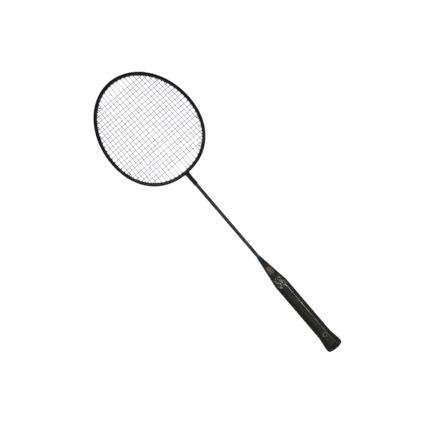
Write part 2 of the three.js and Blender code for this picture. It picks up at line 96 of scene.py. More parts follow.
class HeadSettings(bpy.types.PropertyGroup):
    frame_width: length("Frame width", "Tube width in the plane of the strings", 6.4 * MM)
    tip_reach: length("Tip reach", "From the widest place of the head to the tip", 122 * MM)
    throat_reach: length("Throat reach", "From the widest place to the throat's outer edge", 107 * MM)
    squareness: amount("Throat squareness", "Power of the throat's oval, 2 being an ellipse", 2.18)
    edge_radius: length("Edge radius", "Rounding of the tube's long edges", 2.3 * MM)
    wall: length("Wall", "Thickness of the tube's wall", 0.7 * MM)
    groove_width: length("Groove width", "Width of the string groove", 4.4 * MM)
    groove_depth: length("Groove depth", "Depth of the string groove", 1.9 * MM)
    joint_half_span: length("Joint half span", "Half the T-joint's crosspiece", 12 * MM)
    sleeve_wall: length("Sleeve wall", "Wall of the T-joint's sleeve round the shaft", 0.55 * MM)
    neck_flare: length("Neck flare", "Radius of the sweep from the sleeve to the frame", 3.2 * MM)


class StringSettings(bpy.types.PropertyGroup):
    diameter: length("Diameter", "Thickness of the string", 0.8 * MM)
    mains_per_side: whole("Mains per side", "Lengthwise runs on each side", 11)
    main_pitch: length("Main pitch", "Spacing of the middle mains", 8.7 * MM)
    main_squeeze: length("Main squeeze", "How the spacing closes up towards the edges", 0.0857 * MM)
    main_fan: amount("Main fan", "Growth of the spacing for each metre towards the throat", 0.51)
    fan_station: length("Fan station", "From the tip to where the main spacing is as stated", 114.5 * MM)
    cross_count: whole("Crosses", "Crosswise runs", 21)
    cross_pitch: length("Cross pitch", "Spacing of the crosses", 8.64 * MM)
    top_inset: length("Top inset", "From the tip to the first cross", 28.4 * MM)
    tie_spacing: length("Tie spacing", "From the last hole to the tie-off hole", 4.6 * MM)
    hole_spacing: length("Hole spacing", "Least distance between two holes", 4.309 * MM)
    level: length("Level", "How far the holes stand off the mid plane", 0.55 * MM)


class GrommetSettings(bpy.types.PropertyGroup):
    proud: length("Proud", "How far a barrel stands inside the frame", 1.5 * MM)
    radius: length("Barrel radius", "Outer radius of a barrel at its root", 1.3 * MM)
    bore: length("Bore", "Radius of a barrel's bore", 0.6 * MM)
    strip: length("Strip", "Thickness of the strip in the groove", 0.5 * MM)
    clearance: length("Clearance", "Gap between neighbouring pieces", 0.3 * MM)
    strips_per_side: whole("Strips per side", "Grommet strips on each side", 7)


class HandleSettings(bpy.types.PropertyGroup):
    corner_radius: length("Corner radius", "Rounding of the handle's eight corners", 2.4 * MM)
    cone_fullness: amount("Cone fullness", "Above 1 the cone's flanks bow inwards", 1.07)
    cone_wall: length("Cone wall", "Thickness of the cone's wall", 1.8 * MM)
    shaft_wall: length("Shaft wall", "Thickness of the shaft's wall", 0.5 * MM)
    grip_across: length("Grip across", "Width of the grip across its flats", 2 * COLLAR_HIGH.y)
    grip_thickness: length("Grip thickness", "Thickness of the grip's skin", 1.6 * MM)
    flare_length: length("Flare length", "From the butt end to where the flare starts", 34.5 * MM)
    flare_bend: amount("Flare bend", "Power of the flare's curve", 1.4)
    cap_end: length("Cap end", "Width of the cap's flat end face", 24 * MM)
    cap_round: length("Cap round", "Length of the cap's rounded end", 6 * MM)
    mark_station: length("Mark station", "From the butt end to the moulded ring", 34 * MM)
    mark_radius: length("Mark radius", "Radius of the moulded ring", 3.8 * MM)
    wrap_pitch: length("Wrap pitch", "Advance of the cushion tape for each turn", 22 * MM)


class FinishSettings(bpy.types.PropertyGroup):
    enamel: colour("Enamel", "Frame and T-joint", "#0c0c12")
    shaft: colour("Shaft", "Lacquered tube", "#161614")
    shaft_warm: colour("Shaft, warm", "Lacquer where it is thinner", "#26241e")
    cone: colour("Cone", "Moulded cone", "#121110")
    cone_print: colour("Cone print", "Bronze print on the cone", "#ab8064")
    silver_print: colour("Silver print", "Flecked print at the collar", "#a3a39c")
    grip: colour("Grip", "Pebbled grip", "#0e0e0c")
    # Painted sheen: laid on the grip's level flats, it stands in for the overhead light they reflect; the
    # bevels keep the dark grip colour.
    painted_sheen: colour("Bloom", "Dust on the level flats of the grip", "#2f2f27")
    # A lighter colour laid on the moulded ring, in patches.
    ring_tone: colour("Grip wear", "Rubbed ring on the grip", "#6e685c")
    # Painted highlight: the light line along the grip's upper right corner stands in for a glint of the
    # handle light.
    seam: colour("Seam", "Cut edge of the grip along its seam", "#b0a894")
    collar: colour("Collar", "Finishing band", "#262622")
    cap: colour("Cap", "Butt cap", "#141412")
    scuff: colour("Scuff", "Scuffed spots of the butt cap", "#3a3934")
    # Painted shade: the string is light nylon, but its colour is a dark lavender-grey so that the weave reads
    # as shaded lines against the bright floor.
    string: colour("String", "Strings", "#3c3a47")
    grommet: colour("Grommet", "Grommet strips", "#131318")
    foam: colour("Foam", "Cushion tape", "#5c5c58")
    beech: colour("Beech", "Handle core", "#c9a272")


class StageSettings(bpy.types.PropertyGroup):
    floor: colour("Floor", "Floor colour", "#f6f6f8")
    aim_x: length("Aim along", "Place along the racket under the camera", 341.2 * MM)
    aim_y: length("Aim across", "Place across the racket under the camera", 11 * MM)
    distance: length("Distance", "Height of the camera over the racket", 1.409)
    lens: amount("Lens", "Focal length in millimetres", 61.8)
    turn: amount("Turn", "Turn of the view about its axis", math.radians(229.46), subtype="ANGLE")
    fill: amount("Fill", "Strength of the soft light overhead", 0.3)
    glow: amount("Floor glow", "Light given by the floor itself", 1.03)
    handle: amount("Handle", "Power of the light on the handle in watts", 0.9)
    shaft: amount("Shaft", "Power of the light on the shaft in watts", 1.0)
    throat: amount("Throat", "Power of the light on the throat in watts", 0.6)


# ---- Meshes ----


def skin(name, bodies, closed=False):
    """A mesh of one or more bodies, each a list of rings of points. Open bodies get end faces."""
    points = []
    faces = []
    for rings in bodies:
        first = len(points)
        count = len(rings[0])
        points += [point for ring in rings for point in ring]
        starts = [first + count * i for i in range(len(rings))]
        if closed:
            starts.append(first)
        for here, after in zip(starts, starts[1:]):
            for j in range(count):
                k = (j + 1) % count
                faces.append((here + j, here + k, after + k, after + j))
        if not closed:
            faces.append([starts[0] + j for j in reversed(range(count))])
            faces.append([starts[-1] + j for j in range(count)])
    mesh = bpy.data.meshes.new(name)
    mesh.from_pydata(points, [], faces)
    piece = bpy.data.objects.new(name, mesh)
    bpy.context.scene.collection.objects.link(piece)
    return piece


def spread(low, high, steps):
    """Evenly spaced values from low to high."""
    return [low + (high - low) * i / steps for i in range(steps + 1)]


def mirrored(holes, length=0):
    """The same holes on the other side of a frame of a length."""
    return [dict(hole, distance=length - hole["distance"]) for hole in holes]


def circle(centre, across, up, radius, sides):
    """A ring of points about a centre, starting towards one direction and turning to the other."""
    ring = []
    for i in range(sides):
        angle = 2 * math.pi * i / sides
        ring.append(centre + radius * (math.cos(angle) * across + math.sin(angle) * up))
    return ring


def turned_rings(profile, sides):
    """Rings about the X axis for a profile of (station, radius)."""
    return [circle(Vector((x, 0, 0)), Vector((0, 1, 0)), UP, radius, sides) for x, radius in profile]


def rounded(corners, steps):
    """An outline whose corners, given as (across, up, radius), are turned into arcs."""
    outline = []
    for i, (across, up, radius) in enumerate(corners):
        corner = Vector((across, up))
        before = (Vector(corners[i - 1][:2]) - corner).normalized()
        after = (Vector(corners[(i + 1) % len(corners)][:2]) - corner).normalized()
        half = before.angle(after) / 2
        middle = corner + (before + after).normalized() * radius / math.sin(half)
        start = corner + before * radius / math.tan(half) - middle
        sweep = math.pi - 2 * half
        if before.cross(after) > 0:
            sweep = -sweep
        for j in range(steps + 1):
            outline.append(middle + Matrix.Rotation(sweep * j / steps, 2) @ start)
    return outline


def octagon_ring(station, across, radius, steps=4):
    """A level-sided octagon with rounded corners, square to the X axis."""
    reach = across / 2 / math.cos(math.pi / 8)
    corners = []
    for i in range(8):
        angle = math.pi / 8 + math.pi / 4 * i
        corners.append((reach * math.cos(angle), reach * math.sin(angle), radius))
    return [Vector((station, y, z)) for y, z in rounded(corners, steps)]


def tube_rings(path, radius, sides):
    """Rings along a path that turn as little as they can."""
    rings = []
    across = (path[1] - path[0]).orthogonal()
    for i, point in enumerate(path):
        along = (path[min(i + 1, len(path) - 1)] - path[max(i - 1, 0)]).normalized()
        across = (across - along * across.dot(along)).normalized()
        rings.append(circle(point, across, along.cross(across), radius, sides))
    return rings


def modified(piece, kind, **settings):
    """Applies one modifier to a piece's mesh."""
    modifier = piece.modifiers.new(kind.lower(), kind)
    for name, value in settings.items():
        setattr(modifier, name, value)
    seen = piece.evaluated_get(bpy.context.evaluated_depsgraph_get())
    mesh = bpy.data.meshes.new_from_object(seen)
    piece.modifiers.clear()
    old = piece.data
    piece.data = mesh
    bpy.data.meshes.remove(old)
    return piece


def carve(piece, tool, operation="DIFFERENCE"):
    """Cuts, joins or trims a piece with a tool, which is another piece or a list of bodies."""
    if isinstance(tool, list):
        tool = skin("tool", tool)
    modified(piece, "BOOLEAN", operation=operation, solver="MANIFOLD", object=tool)
    if not piece.data.polygons:
        raise RuntimeError(piece.name + " came out empty")
    mesh = tool.data
    bpy.data.objects.remove(tool)
    bpy.data.meshes.remove(mesh)
    return piece


def place(piece, material, slot, *nodes, sharp=40, weighted=True):
    """Finishes a piece: its material, shading, body and the nodes that it stands for. The slot is not used.
    """
    piece.data.materials.clear()
    piece.data.materials.append(material)
    piece.data.shade_smooth()
    piece.data.set_sharp_from_angle(angle=math.radians(sharp))
    if weighted:
        piece.modifiers.new("weighted normals", "WEIGHTED_NORMAL").keep_sharp = True
    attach(piece, "root")
    if nodes:
        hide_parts(*nodes)
    return piece


# ---- The line of the head ----


class HeadLine:
    """The frame tube's centreline. Distances run from the middle of the throat round the left side."""

    samples = 4000

    def __init__(self, head):
        half = head.frame_width / 2
        self.widest = FRAME_HIGH.x - head.tip_reach
        self.tip_reach = head.tip_reach - half
        self.throat_reach = head.throat_reach - half
        self.side = FRAME_HIGH.y - half
        self.power = 2 / head.squareness
        self.points = [self.at_angle(2 * math.pi * i / self.samples) for i in range(self.samples + 1)]
        self.lengths = [0.0]
        for before, after in zip(self.points, self.points[1:]):
            self.lengths.append(self.lengths[-1] + (after - before).length)
        self.length = self.lengths[-1]

    def at_angle(self, angle):
        """Half an ellipse at the tip and half a squarer oval at the throat."""
        along, across = math.cos(angle), math.sin(angle)
        power = self.power if along > 0 else 1
        reach = self.throat_reach if along > 0 else self.tip_reach
        x = self.widest - math.copysign(reach * abs(along) ** power, along)
        y = math.copysign(self.side * abs(across) ** power, across)
        return Vector((x, y, 0))

    def middle(self, distance):
        distance %= self.length
        i = min(bisect.bisect_right(self.lengths, distance), self.samples) - 1
        share = (distance - self.lengths[i]) / (self.lengths[i + 1] - self.lengths[i])
        return self.points[i].lerp(self.points[i + 1], share)

    def along(self, distance):
        reach = 0.5 * MM
        return (self.middle(distance + reach) - self.middle(distance - reach)).normalized()

    def out(self, distance):
        return UP.cross(self.along(distance))

    def place(self, distance, outwards, height=0):
        return self.middle(distance) + self.out(distance) * outwards + UP * height

    def rings(self, outline, start, end, step):
        """An outline of (outwards, up) carried along the frame."""
        rings = []
        for distance in spread(start, end, max(1, math.ceil((end - start) / step))):
            middle, out = self.middle(distance), self.out(distance)
            rings.append([middle + out * across + UP * up for across, up in outline])
        return rings

    def on(self, hole, outwards):
        """A place on a hole's axis."""
        return self.place(hole["distance"], outwards, hole["height"])

    def peg(self, hole, profile, sides):
        """A round peg along a hole, for a profile of (outwards, radius)."""
        back = -self.along(hole["distance"])
        return [circle(self.on(hole, outwards), back, UP, radius, sides) for outwards, radius in profile]


def tube_outline(head, inset=0):
    """The frame tube's section, with the groove in its outer side."""
    half = head.frame_width / 2 - inset
    top = FRAME_HIGH.z - inset
    lip = head.groove_width / 2
    floor = head.frame_width / 2 - head.groove_depth
    edge = head.edge_radius
    lip_radius, floor_radius = 0.5 * MM, 0.35 * MM
    return rounded(
        [
            (-half, -top, edge),
            (half, -top, edge),
            (half, -lip, lip_radius),
            (floor, -lip, floor_radius),
            (floor, lip, floor_radius),
            (half, lip, lip_radius),
            (half, top, edge),
            (-half, top, edge),
        ],
        5,
    )


def box_outline(inner, outer, low, high, radius, steps=4):
    corners = [(inner, low, radius), (outer, low, radius), (outer, high, radius), (inner, high, radius)]
    return rounded(corners, steps)


def hollow_outline(head, inset=0):
    """The hollow inside the tube, or with an inset the spigot that fits it."""
    gap = head.wall + inset
    inner = -head.frame_width / 2 + gap
    outer = head.frame_width / 2 - head.groove_depth - gap
    top = FRAME_HIGH.z - gap
    return box_outline(inner, outer, -top, top, 0.7 * MM)


# ---- Holes ----


class Holes:
    """Where the strings go through the frame, with the holes of the left half from throat to tip."""

    passes = 400

    def __init__(self, line, head, strings, grommets):
        self.line, self.head, self.strings = line, head, strings
        self.mouth = -head.frame_width / 2 - grommets.proud
        self.sleeve = SHAFT_HIGH.y + grommets.clearance + head.sleeve_wall
        self.half = line.length / 2
        self.widest_place = self.find(lambda point: point.x - line.widest, 0, self.half)
        self.left = self.spaced(sorted(self.wanted(), key=lambda hole: hole["distance"]), grommets)
        self.right = mirrored(self.left, line.length)

    def find(self, test, low, high):
        """The distance at which a test of the barrel's mouth changes sign."""
        rising = test(self.line.place(high, self.mouth)) > 0
        while high - low > 0.001 * MM:
            middle = (low + high) / 2
            if (test(self.line.place(middle, self.mouth)) > 0) == rising:
                high = middle
            else:
                low = middle
        return (low + high) / 2

    def main_offset(self, number, station):
        strings = self.strings
        count = number - 0.5
        offset = strings.main_pitch * count - strings.main_squeeze * count * count
        return offset * (1 + strings.main_fan * (FRAME_HIGH.x - strings.fan_station - station))

    def wanted(self):
        strings = self.strings
        holes = []

        def add(name, distance, height):
            holes.append({"name": name, "distance": distance, "height": height})

        for number in range(1, strings.mains_per_side + 1):
            test = lambda point, number=number: point.y - self.main_offset(number, point.x)
            throat = self.find(test, 0, self.widest_place)
            add("throat%d" % number, throat, strings.level)
            add("tip%d" % number, self.find(test, self.widest_place, self.half), strings.level)
        add("main_tie", throat + strings.tie_spacing, strings.level)
        for number in range(1, strings.cross_count + 1):
            station = FRAME_HIGH.x - strings.top_inset - strings.cross_pitch * (number - 1)
            cross = self.find(lambda point: point.x - station, 0, self.half)
            add("cross%d" % number, cross, -strings.level)
            if number == 1:
                add("top_tie", cross + strings.tie_spacing, -strings.level)
        add("low_tie", cross - strings.tie_spacing, -strings.level)
        return holes

    def spaced(self, holes, grommets):
        """Moves crowded holes apart and keeps them off the T-joint's sleeve and the middle of the tip."""
        spacing = self.strings.hole_spacing
        first = self.sleeve + spacing / 2 - 0.5 * MM + grommets.clearance
        last = self.half - spacing / 2
        for _ in range(self.passes):
            for before, after in zip(holes, holes[1:]):
                short = max(0, spacing - (after["distance"] - before["distance"]))
                before["distance"] -= short / 2
                after["distance"] += short / 2
            holes[0]["distance"] = max(holes[0]["distance"], first)
            holes[-1]["distance"] = min(holes[-1]["distance"], last)
        return holes

    def named(self, side, name):
        return next(hole for hole in side if hole["name"] == name)


# ---- Materials ----

NOISE, CELLS, BUMP = "ShaderNodeTexNoise", "ShaderNodeTexVoronoi", "ShaderNodeBump"
MATH, RANGE, MIX = "ShaderNodeMath", "ShaderNodeMapRange", "ShaderNodeMix"
VECTOR, STRETCH, WOUND = "ShaderNodeVectorMath", "ShaderNodeMapping", "ShaderNodeUVMap"
PLACE, AXES = "ShaderNodeTexCoord", "ShaderNodeSeparateXYZ"
SHADER = "Principled BSDF"


def add_node(tree, kind, values=(), **settings):
    """Adds a node with its settings, and fills its inputs."""
    node = tree.nodes.new(kind)
    for name, value in settings.items():
        setattr(node, name, value)
    fill(tree, node, values)
    return node


def fill(tree, node, values):
    """Sets a node's inputs, by name or in order, to plain values or to links from other nodes."""
    usable = [socket for socket in node.inputs if socket.enabled]
    for key, value in values.items() if isinstance(values, dict) else enumerate(values):
        socket = node.inputs[key] if isinstance(key, str) else usable[key]
        if isinstance(value, bpy.types.Node):
            value = next(output for output in value.outputs if output.enabled)
        if isinstance(value, bpy.types.NodeSocket):
            tree.links.new(value, socket)
        elif socket.type == "RGBA":
            socket.default_value = (*value[:3], 1)
        else:
            socket.default_value = value


def new_material(name, specular, **constants):
    """A material with one Principled shader, some of whose inputs are the same all over."""
    material = bpy.data.materials.new(name)
    material.use_nodes = True
    tree = material.node_tree
    named = {key.replace("_", " ").title(): value for key, value in constants.items()}
    fill(tree, tree.nodes[SHADER], {"Specular IOR Level": specular, **named})
    return material, tree


def coated(material, base, sheen, height, depth):
    """Gives a material its colour, its roughness and a relief of a depth."""
    tree = material.node_tree
    relief = add_node(tree, BUMP, {"Height": height, "Distance": depth})
    fill(tree, tree.nodes[SHADER], {"Base Color": base, "Roughness": sheen, "Normal": relief})
    return material


def shade(rgb, share):
    """A colour made darker or lighter by a share."""
    return [share * channel for channel in rgb]


# A noise or cell scale is 1 over the size of a feature. Inputs in order: noise (place, scale, detail),
# range (value, from low, from high, to low, to high).


def patches(tree, spot, size, detail, low, high, start=0, end=1):
    """Noise with features of a size, whose part from low to high is stretched to run from start to end."""
    noise = add_node(tree, NOISE, [spot, 1 / size, detail])
    return add_node(tree, RANGE, [noise, low, high, start, end])


def overlaid(tree, base, over, *shares):
    """One colour laid on another, as far as the product of the shares."""
    share, *more = shares
    for factor in more:
        share = add_node(tree, MATH, [share, factor], operation="MULTIPLY")
    return add_node(tree, MIX, [share, base, over], data_type="RGBA")


def zone(tree, axes, start, end, half_width):
    """Shares that are 1 on the upper side between two stations and within a half width."""
    soft = 1 * MM
    edges = (
        [axes[0], start - soft, start + soft, 0, 1],
        [axes[0], end - soft, end + soft, 1, 0],
        [axes[1], -half_width - soft, soft - half_width, 0, 1],
        [axes[1], half_width - soft, half_width + soft, 1, 0],
        [axes[2], 0, soft, 0, 1],
    )
    return [add_node(tree, RANGE, edge) for edge in edges]


def stoving_enamel(finish):
    """Black stoving enamel, sprayed on aluminium tube: satin black with faint orange peel and light dust."""
    material, tree = new_material("stoving_enamel_sprayed", 0.1, coat_weight=0.03, coat_roughness=0.1)
    spot = add_node(tree, PLACE).outputs["Object"]
    mottle = patches(tree, spot, 22 * MM, 3, 0.35, 0.7)
    base = overlaid(tree, shade(finish.enamel, 0.8), shade(finish.enamel, 1.35), mottle)
    haze = patches(tree, spot, 6 * MM, 4, 0.3, 0.75, 0.26, 0.42)
    peel = add_node(tree, NOISE, [spot, 1 / (1.6 * MM), 1])
    return coated(material, base, haze, peel, 0.02 * MM)


def lacquered_steel(finish):
    """Drawn steel tube under black lacquer: a soft long highlight with fine streaks lengthwise."""
    material, tree = new_material("lacquered_steel_drawn", 0.25, coat_weight=0.05, coat_roughness=0.16)
    spot = add_node(tree, PLACE).outputs["Object"]
    drawn = add_node(tree, STRETCH, {"Vector": spot, "Scale": (1 / 30, 1, 1)})
    streaks = add_node(tree, NOISE, [drawn, 1 / (1.2 * MM), 4])
    warmth = patches(tree, spot, 60 * MM, 2, 0.35, 0.65)
    tint = overlaid(tree, finish.shaft, finish.shaft_warm, warmth)
    depth = add_node(tree, RANGE, [streaks, 0.35, 0.7, 0, 1])
    base = overlaid(tree, tint, shade(finish.shaft, 0.6), depth)
    sheen = add_node(tree, RANGE, [streaks, 0.2, 0.8, 0.28, 0.44])
    return coated(material, base, sheen, streaks, 0.01 * MM)


def moulded_abs(finish):
    """Black ABS, injection moulded: satin, with a bronze print of slanted bars and worn silver flecks."""
    material, tree = new_material("abs_injection_moulded", 0.2)
    spot = add_node(tree, PLACE).outputs["Object"]
    axes = add_node(tree, AXES, [spot]).outputs
    bar_pitch = 3.2 * MM
    slant = add_node(tree, MATH, [axes[1], 0.5, axes[0]], operation="MULTIPLY_ADD")
    slant = add_node(tree, MATH, [slant, 2 * math.pi / bar_pitch], operation="MULTIPLY")
    bars = add_node(tree, MATH, [slant], operation="SINE")
    bars = add_node(tree, RANGE, [bars, -0.4, 0.3, 0, 1])
    worn = patches(tree, spot, 1.5 * MM, 3, 0.44, 0.56, 0.15, 1)
    patch = zone(tree, axes, CONE_LOW.x + 25 * MM, CONE_LOW.x + 40 * MM, 4.5 * MM)
    base = overlaid(tree, finish.cone, finish.cone_print, *patch, worn, bars)
    band = zone(tree, axes, CONE_LOW.x - 5 * MM, CONE_LOW.x + 14 * MM, 8 * MM)
    flecks = patches(tree, spot, 2.2 * MM, 3, 0.52, 0.62)
    base = overlaid(tree, base, finish.silver_print, *band, flecks)
    sheen = patches(tree, spot, 3 * MM, 3, 0.3, 0.7, 0.34, 0.48)
    grain = add_node(tree, NOISE, [spot, 1 / (0.8 * MM), 2])
    return coated(material, base, sheen, grain, 0.015 * MM)


def pebbled_polyurethane(finish, handle):
    """Polyurethane leather, embossed: matt pebbled grain, a painted sheen on its level flats, a lighter ring
    and a painted highlight along one corner.
    """
    material, tree = new_material("polyurethane_leather_embossed", 0.14)
    places = add_node(tree, PLACE).outputs
    spot = places["Object"]
    # Pebbles of 1.5 mm, coarser than the real 0.8 mm so that the grain shows.
    pattern = {"Vector": spot, "Scale": 1 / (1.5 * MM), "Randomness": 0.75}
    cells = add_node(tree, CELLS, pattern, feature="SMOOTH_F1")
    pebble = add_node(tree, RANGE, [cells, 0.15, 0.6, 1, 0])
    _, sideways, upwards = add_node(tree, AXES, [places["Normal"]]).outputs
    # Painted sheen: the level flats, upper and lower, turn lighter, patchy and strongest on the pebble tops.
    level = add_node(tree, MATH, [upwards], operation="ABSOLUTE")
    level = add_node(tree, RANGE, [level, 0.86, 0.99, 0, 1])
    patchy = patches(tree, spot, 7 * MM, 5, 0.3, 0.65, 0.45, 1)
    grain = add_node(tree, RANGE, [pebble, 0, 1, 0.35, 1])
    base = overlaid(tree, finish.grip, shade(finish.painted_sheen, 1.3), level, patchy, grain)
    # The moulded ring, upper and lower, is drawn in a lighter colour, in patches.
    offset = add_node(tree, VECTOR, [spot, (handle.mark_station, 0, 0)], operation="SUBTRACT")
    offset = add_node(tree, VECTOR, [offset, (1, 1, 0)], operation="MULTIPLY")
    away = add_node(tree, VECTOR, [offset], operation="LENGTH")
    ring = add_node(tree, MATH, [away, handle.mark_radius, 0.5 * MM], operation="COMPARE")
    base = overlaid(tree, base, finish.ring_tone, ring, patchy)
    # A painted highlight, a thin light line standing in for the handle light's glint, follows the upper right
    # corner, on its outer half, 30 degrees off upright, fading towards the butt.
    seam = add_node(tree, MATH, [sideways, -math.sin(math.pi / 6), 0.17], operation="COMPARE")
    above = add_node(tree, RANGE, [upwards, 0, 0.5, 0, 1])
    along = add_node(tree, AXES, [spot]).outputs[0]
    faded = add_node(tree, RANGE, [along, 20 * MM, 110 * MM, 0.15, 1])
    base = overlaid(tree, base, finish.seam, seam, above, faded, patchy)
    sheen = add_node(tree, RANGE, [pebble, 0, 1, 0.52, 0.34])
    return coated(material, base, sheen, pebble, 0.12 * MM)


def finishing_tape(finish):
    """Calendered vinyl tape with a worn silver print of flecks."""
    material, tree = new_material("vinyl_tape_calendered", 0.2)
    spot = add_node(tree, PLACE).outputs["Object"]
    axes = add_node(tree, AXES, [spot]).outputs
    flecks = patches(tree, spot, 2.4 * MM, 3, 0.52, 0.62, 0, 0.8)
    band = zone(tree, axes, COLLAR_LOW.x, COLLAR_HIGH.x + 5 * MM, 8 * MM)
    base = overlaid(tree, finish.collar, finish.silver_print, *band, flecks)
    sheen = add_node(tree, RANGE, [flecks, 0, 0.8, 0.5, 0.36])
    grain = add_node(tree, NOISE, [spot, 1 / (1.2 * MM), 2])
    return coated(material, base, sheen, grain, 0.03 * MM)


def moulded_rubber(finish):
    """Black rubber, compression moulded: matt with a fine spark-eroded grain and scuffed high spots."""
    material, tree = new_material("rubber_compression_moulded", 0.16)
    spot = add_node(tree, PLACE).outputs["Object"]
    scuffs = patches(tree, spot, 3.5 * MM, 5, 0.56, 0.7)
    base = overlaid(tree, finish.cap, finish.scuff, scuffs)
    sheen = add_node(tree, RANGE, [scuffs, 0, 1, 0.6, 0.42])
    grain = add_node(tree, NOISE, [spot, 1 / (0.9 * MM), 2])
    return coated(material, base, sheen, grain, 0.06 * MM)


def multifilament_nylon(finish):
    """Nylon string of fine filaments under a wound sheath: pearly, with a spiral that catches the light."""
    soft = {"subsurface_weight": 0.15, "subsurface_scale": 0.3 * MM}
    material, tree = new_material("nylon_multifilament_wound", 0.5, **soft)
    axes = add_node(tree, AXES, [add_node(tree, WOUND, uv_map="wind")]).outputs
    # The sheath winds once every 1.4 mm, coarser than the real 0.3 mm so that it shows.
    turns = add_node(tree, MATH, [axes[0], axes[1]], operation="ADD")
    turns = add_node(tree, MATH, [turns, 2 * math.pi], operation="MULTIPLY")
    wave = add_node(tree, MATH, [turns], operation="SINE")
    share = add_node(tree, RANGE, [wave, -1, 1, 0, 1])
    # The dark string colour is painted shade, for string that is light in colour.
    base = overlaid(tree, shade(finish.string, 0.85), shade(finish.string, 1.12), share)
    sheen = add_node(tree, RANGE, [wave, -1, 1, 0.45, 0.32])
    return coated(material, base, sheen, wave, 0.02 * MM)


def moulded_nylon(finish):
    """Black nylon, injection moulded: satin with a faintly cloudy skin."""
    material, tree = new_material("nylon_injection_moulded", 0.4)
    spot = add_node(tree, PLACE).outputs["Object"]
    cloud = patches(tree, spot, 4 * MM, 3, 0.3, 0.7)
    base = overlaid(tree, shade(finish.grommet, 0.8), shade(finish.grommet, 1.5), cloud)
    sheen = add_node(tree, RANGE, [cloud, 0, 1, 0.36, 0.5])
    grain = add_node(tree, NOISE, [spot, 1 / (0.7 * MM), 2])
    return coated(material, base, sheen, grain, 0.02 * MM)


def planed_beech(finish):
    """Planed beech: pale brown with short darker flecks along the grain."""
    material, tree = new_material("beech_planed", 0.4)
    spot = add_node(tree, PLACE).outputs["Object"]
    lengthwise = add_node(tree, STRETCH, {"Vector": spot, "Scale": (1 / 16, 1, 1)})
    grain = add_node(tree, NOISE, [lengthwise, 1 / (1.4 * MM), 4])
    growth = patches(tree, lengthwise, 7 * MM, 2, 0.35, 0.65)
    base = overlaid(tree, shade(finish.beech, 0.85), shade(finish.beech, 1.05), growth)
    flecks = add_node(tree, RANGE, [grain, 0.55, 0.72, 0, 1])
    base = overlaid(tree, base, shade(finish.beech, 0.55), flecks)
    sheen = add_node(tree, RANGE, [grain, 0.3, 0.7, 0.55, 0.72])
    return coated(material, base, sheen, grain, 0.04 * MM)


def polyether_foam(finish):
    """Skived polyether foam tape: matt grey with open cells."""
    material, tree = new_material("polyether_foam_skived", 0.3)
    spot = add_node(tree, PLACE).outputs["Object"]
    cells = add_node(tree, CELLS, {"Vector": spot, "Scale": 1 / (0.6 * MM)})
    walls = add_node(tree, RANGE, [cells, 0.1, 0.6, 0, 1])
    # Painted shade: the hollows of the open cells are darker than their walls.
    base = overlaid(tree, shade(finish.foam, 0.5), shade(finish.foam, 1.15), walls)
    sheen = add_node(tree, RANGE, [walls, 0, 1, 0.98, 0.86])
    return coated(material, base, sheen, cells, 0.15 * MM)


def opal_acrylic(stage):
    """Opal acrylic table top, cast and lit from below: even and pale, with hardly any shadow."""
    lit = {"roughness": 0.9, "emission_color": stage.floor, "emission_strength": stage.glow}
    material, tree = new_material("opal_acrylic_cast", 0.2, **lit)
    spot = add_node(tree, PLACE).outputs["Object"]
    cloud = patches(tree, spot, 30 * MM, 2, 0.3, 0.7)
    base = overlaid(tree, shade(stage.floor, 0.19), shade(stage.floor, 0.2), cloud)
    fill(tree, tree.nodes[SHADER], {"Base Color": base})
    return material


# ---- Pieces ----


class Racket:
    """The settings, the head's line and its holes, shared by the operators."""

    def __init__(self, scene):
        self.head = scene.racket_head
        self.strings = scene.racket_strings
        self.grommets = scene.racket_grommets
        self.handle = scene.racket_handle
        self.finish = scene.racket_finish
        self.line = HeadLine(self.head)
        self.holes = Holes(self.line, self.head, self.strings, self.grommets)
        self.mouth = self.holes.mouth
        self.sleeve = self.holes.sleeve
        self.groove_floor = self.head.frame_width / 2 - self.head.groove_depth
        self.strip_low = self.groove_floor + 0.05 * MM
        self.strip_high = self.strip_low + self.grommets.strip
        self.string_seat = self.strip_high + self.strings.diameter / 2 + 0.02 * MM
        self.hole_radius = self.grommets.radius + 0.12 * MM


def make_hoop(racket):
    """The tube, rolled to the oval, drilled for the grommets and open at the throat."""
    head, line = racket.head, racket.line
    start = head.joint_half_span + racket.grommets.clearance / 2
    step = 2.2 * MM
    hoop = skin("head_hoop", [line.rings(tube_outline(head), start, line.length - start, step)])
    over = 1 * MM
    hollow = line.rings(hollow_outline(head), start - over, line.length - start + over, step)
    carve(hoop, [hollow])
    inner, outer = -head.frame_width / 2 - over, racket.groove_floor + over / 2
    drill = [(inner, racket.hole_radius), (outer, racket.hole_radius)]
    return carve(hoop, [line.peg(hole, drill, 20) for hole in racket.holes.left + racket.holes.right])


